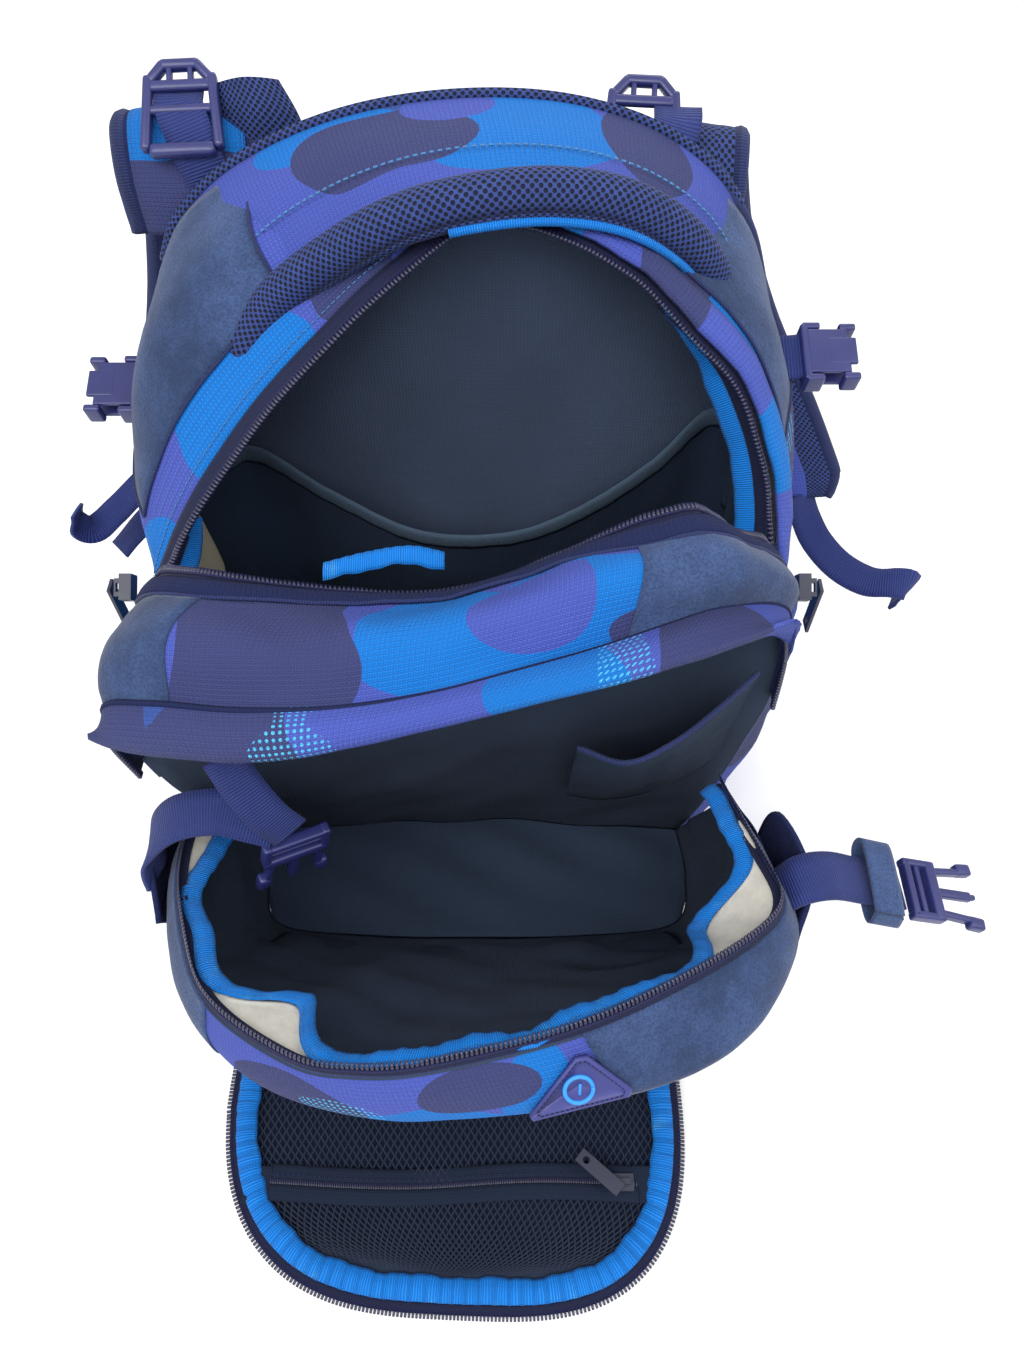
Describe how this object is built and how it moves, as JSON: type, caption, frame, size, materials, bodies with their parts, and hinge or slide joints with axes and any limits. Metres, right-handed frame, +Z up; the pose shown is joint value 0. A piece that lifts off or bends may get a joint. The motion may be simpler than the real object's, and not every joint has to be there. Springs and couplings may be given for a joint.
{
  "type": "backpack",
  "caption": "Soft school-size backpack standing on its base with both arched compartments and the front pocket unzipped and folded forward.",
  "frame": {"origin": "middle of the base panel's underside, on the surface that the bag stands on, 46 mm behind the fold of the main divider", "axes": "+Z up, +X to the left of the wearer's side seen from the front (viewer's right), +Y from the front pocket towards the wearer's back"},
  "size_m": [0.4924, 0.517, 0.4223],
  "materials": {
    "camo_fabric": "woven polyester with a printed blue camouflage, matte",
    "suede_fabric": "brushed slate-blue fabric, matte",
    "air_mesh": "knitted spacer mesh, matte",
    "lining": "plain woven lining, dull",
    "open_mesh": "open hexagonal mesh, matte",
    "binding_blue": "grosgrain binding tape, slight sheen",
    "zip_tape": "woven tape with nylon coil, slight sheen",
    "webbing": "polyester webbing, slight sheen",
    "buckle_plastic": "moulded acetal, satin",
    "slider_metal": "dark lacquered die-cast zinc, satin",
    "patch_rubber": "moulded soft rubber patch, matte",
    "label_fabric": "satin ribbon, blank",
    "frame_plastic": "polyethylene sheet, satin"
  },
  "bodies": {
    "main_shell": {"back_panel": "camo_fabric", "frame_sheet": "frame_plastic", "back_pad_left": "air_mesh", "back_pad_right": "air_mesh", "base_panel": "suede_fabric", "main_side_left": "camo_fabric", "main_side_right": "camo_fabric", "main_roof": "camo_fabric", "main_zip_rear": "zip_tape", "main_storm_flap": "camo_fabric", "document_pocket": "lining", "pen_pocket": "lining", "care_labels": "label_fabric", "carry_handle": "camo_fabric", "buckle_socket_left": "buckle_plastic", "buckle_socket_right": "buckle_plastic", "load_lifter_left": "webbing", "load_lifter_right": "webbing"},
    "main_slider_l": {"main_slider_left": "slider_metal"},
    "main_slider_r": {"main_slider_right": "slider_metal"},
    "main_pull_l": {"main_pull_left": "slider_metal"},
    "main_pull_r": {"main_pull_right": "slider_metal"},
    "strap_left": {"shoulder_strap_left": "camo_fabric", "strap_adjuster_left": "buckle_plastic", "strap_webbing_left": "webbing"},
    "strap_right": {"shoulder_strap_right": "camo_fabric", "strap_adjuster_right": "buckle_plastic", "strap_webbing_right": "webbing"},
    "middle_section": {"divider_panel": "lining", "second_floor": "suede_fabric", "middle_roof": "camo_fabric", "middle_side_left": "suede_fabric", "middle_side_right": "suede_fabric", "main_zip_front": "zip_tape", "middle_storm_flap": "camo_fabric", "second_zip_rear": "zip_tape", "organiser_pocket": "lining", "buckle_webbing_left": "webbing"},
    "front_section": {"front_panel": "lining", "front_side_left": "suede_fabric", "front_side_right": "suede_fabric", "front_roof": "camo_fabric", "second_zip_front": "zip_tape", "front_binding": "binding_blue", "front_patch": "patch_rubber", "strap_anchor_left": "webbing", "strap_anchor_right": "webbing", "side_webbing_left": "webbing", "side_webbing_right": "webbing", "webbing_keeper": "suede_fabric"},
    "buckle_left": {"buckle_plug_left": "buckle_plastic"},
    "buckle_right": {"buckle_plug_right": "buckle_plastic"},
    "pocket_flap": {"flap_panel": "camo_fabric", "flap_mesh": "open_mesh", "flap_zip": "zip_tape", "flap_binding": "binding_blue", "pocket_zip": "zip_tape"},
    "pocket_slider": {"pocket_slider": "slider_metal"},
    "pocket_pull": {"pocket_pull": "slider_metal"}
  },
  "joints": [
    {"name": "middle_lean", "type": "hinge", "parent": "main_shell", "child": "middle_section", "pos_m": [0, -0.046, 0.008], "axis": [0.9391, -0.173, 0.297], "range_deg": [-20.2, 0]},
    {"name": "front_lean", "type": "hinge", "parent": "middle_section", "child": "front_section", "pos_m": [0, -0.126, 0.008], "axis": [0.9258, 0.2819, -0.2519], "range_deg": [-18.35, 0]},
    {"name": "flap_fold", "type": "hinge", "parent": "front_section", "child": "pocket_flap", "pos_m": [-0.011, -0.15203, 0.00639], "axis": [1, 0, 0], "range_deg": [-53, 0]},
    {"name": "pocket_zip_slide", "type": "slide", "parent": "pocket_flap", "child": "pocket_slider", "axis": [-1, 0, 0], "range_m": [0, 0.19]},
    {"name": "pocket_pull_turn", "type": "hinge", "parent": "pocket_slider", "child": "pocket_pull", "pos_m": [0.081, -0.28003, 0.0202], "axis": [0, 0, 1], "range_deg": [-70, 70]},
    {"name": "main_zip_slide_left", "type": "slide", "parent": "main_shell", "child": "main_slider_l", "axis": [0, 0.5547, 0.8321], "range_m": [0, 0.03]},
    {"name": "main_zip_slide_right", "type": "slide", "parent": "main_shell", "child": "main_slider_r", "axis": [0, 0.5547, 0.8321], "range_m": [0, 0.03]},
    {"name": "main_pull_swing_left", "type": "hinge", "parent": "main_slider_l", "child": "main_pull_l", "pos_m": [-0.1754, -0.048, 0.259], "axis": [1, 0, 0], "range_deg": [-40, 40]},
    {"name": "main_pull_swing_right", "type": "hinge", "parent": "main_slider_r", "child": "main_pull_r", "pos_m": [0.1754, -0.048, 0.259], "axis": [1, 0, 0], "range_deg": [-40, 40]},
    {"name": "strap_swing_left", "type": "hinge", "parent": "main_shell", "child": "strap_left", "pos_m": [-0.132, 0.112, 0.38], "axis": [1, 0, 0], "range_deg": [0, 16]},
    {"name": "strap_swing_right", "type": "hinge", "parent": "main_shell", "child": "strap_right", "pos_m": [0.1, 0.112, 0.372], "axis": [1, 0, 0], "range_deg": [0, 16]},
    {"name": "buckle_swing_left", "type": "hinge", "parent": "middle_section", "child": "buckle_left", "pos_m": [-0.079, -0.1574, 0.209], "axis": [0, 1, 0], "range_deg": [-10, 20]},
    {"name": "buckle_swing_right", "type": "hinge", "parent": "front_section", "child": "buckle_right", "pos_m": [0.224, -0.16, 0.153], "axis": [0, 1, 0], "range_deg": [-20, 30]}
  ]
}
